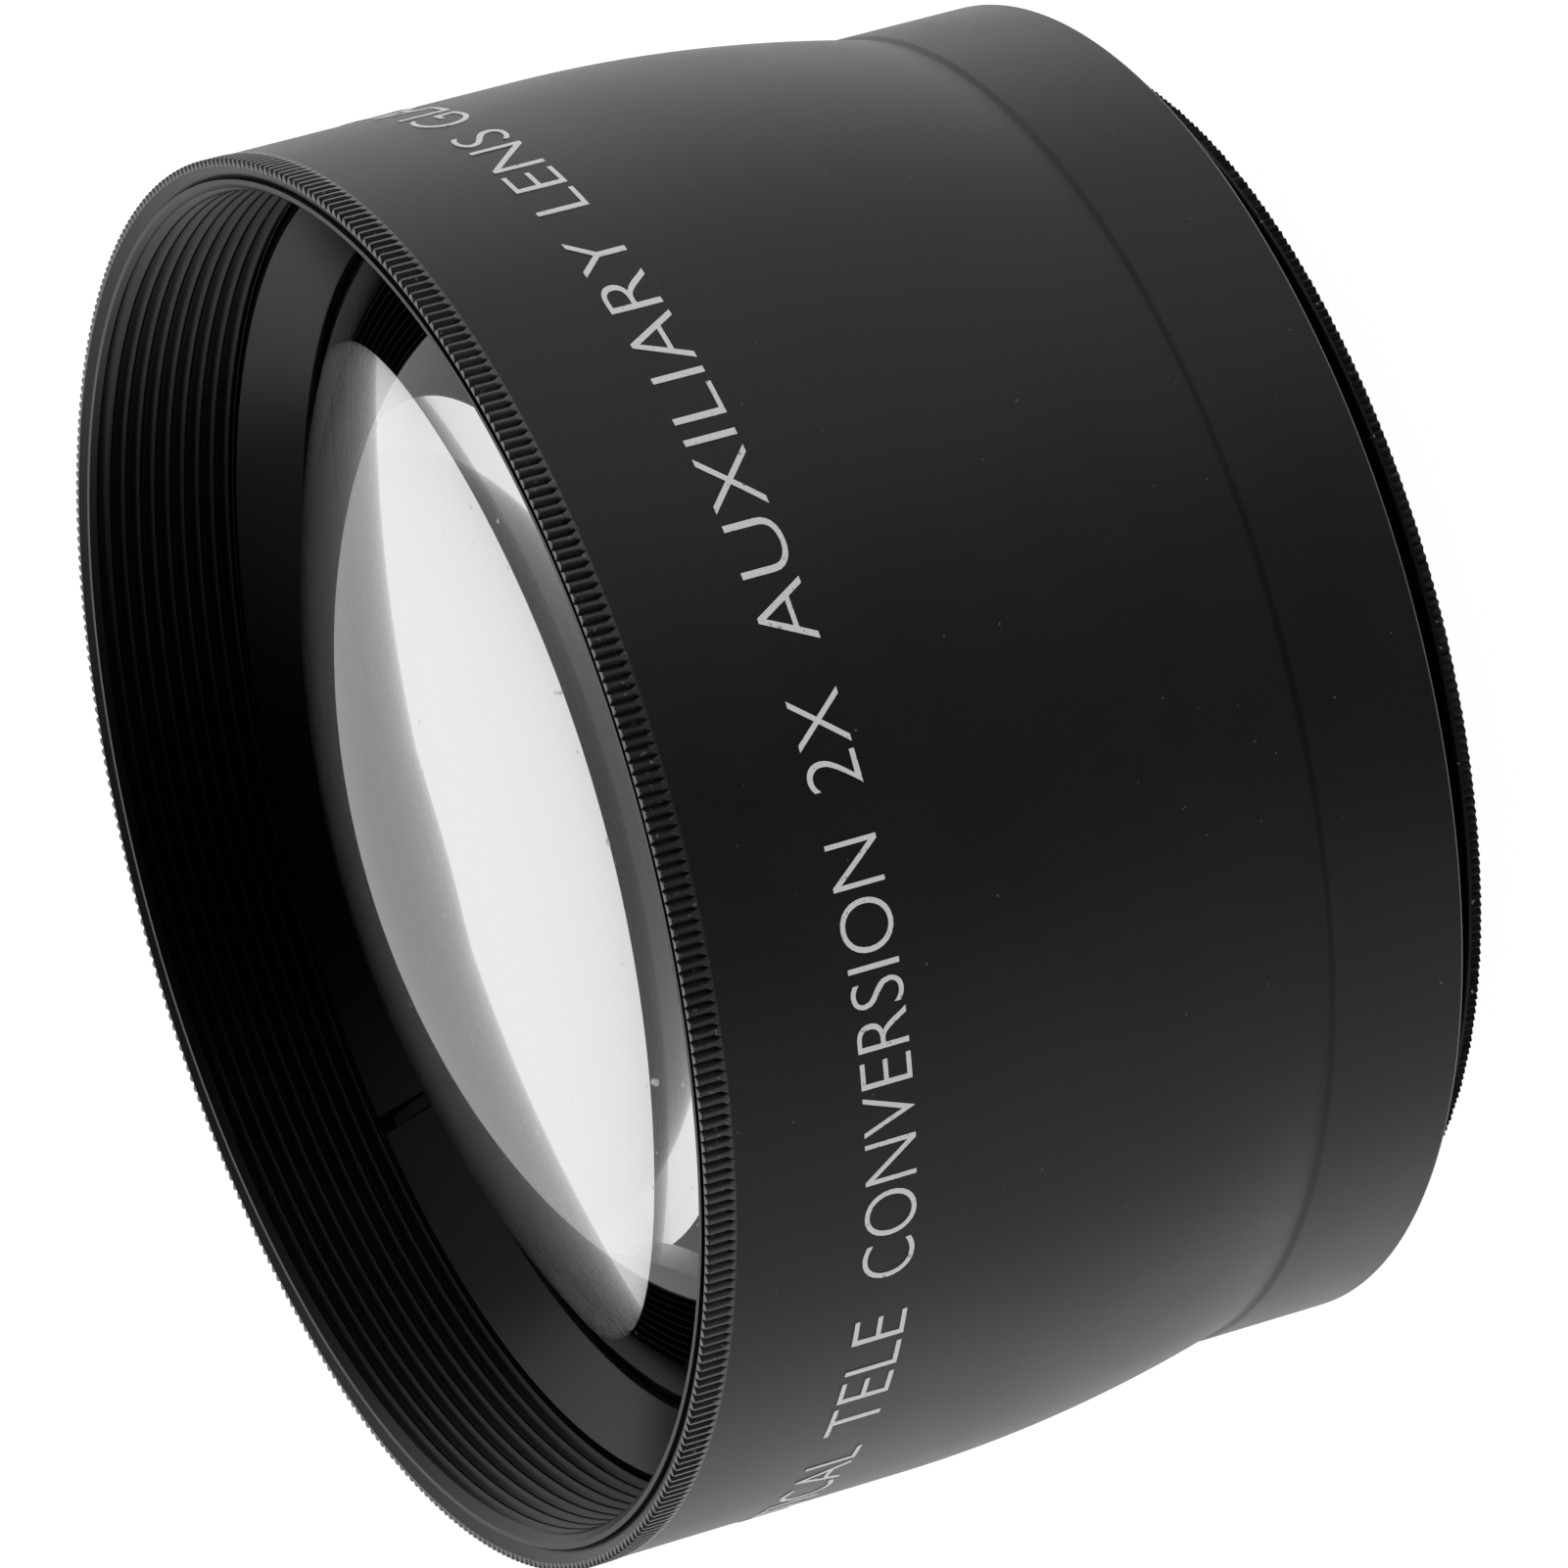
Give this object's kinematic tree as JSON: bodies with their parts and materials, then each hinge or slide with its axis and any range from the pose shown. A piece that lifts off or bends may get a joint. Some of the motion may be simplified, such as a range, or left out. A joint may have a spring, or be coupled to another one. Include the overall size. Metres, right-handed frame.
{
  "type": "telephoto conversion lens",
  "caption": "Screw-on telephoto converter: black barrel with a knurled threaded front rim, convex glass, tapered waist, collar and a knurled rear adapter ring.",
  "frame": {"origin": "on the optical axis in the plane of the rear thread's end, which the lens stands on", "axes": "+Z along the optical axis from the rear thread to the front element; +Y is the side a spanner notch lies nearest"},
  "size_m": [0.0644, 0.0644, 0.0422],
  "materials": {
    "barrel": "matte black anodised",
    "blackened_ring": "satin black anodised",
    "blackened_inside": "dull black",
    "adapter": "satin black anodised",
    "coated_glass": "polished, coated",
    "plain_glass": "polished"
  },
  "bodies": {
    "lens": {"barrel": "barrel", "front_retaining_ring": "blackened_ring", "front_element": "coated_glass", "front_spacer": "blackened_inside", "doublet_crown": "plain_glass", "doublet_flint": "plain_glass", "glare_stop": "blackened_inside", "rear_cell": "blackened_inside", "rear_element": "plain_glass", "rear_retaining_ring": "blackened_ring", "rear_mount": "blackened_ring"},
    "adapter": {"adapter_ring": "adapter"}
  },
  "joints": [
    {"name": "adapter_screw", "type": "hinge", "parent": "lens", "child": "adapter", "pos_m": [0, 0, 0.0042], "axis": [0, 0, -1], "range_deg": [0, 760]}
  ]
}
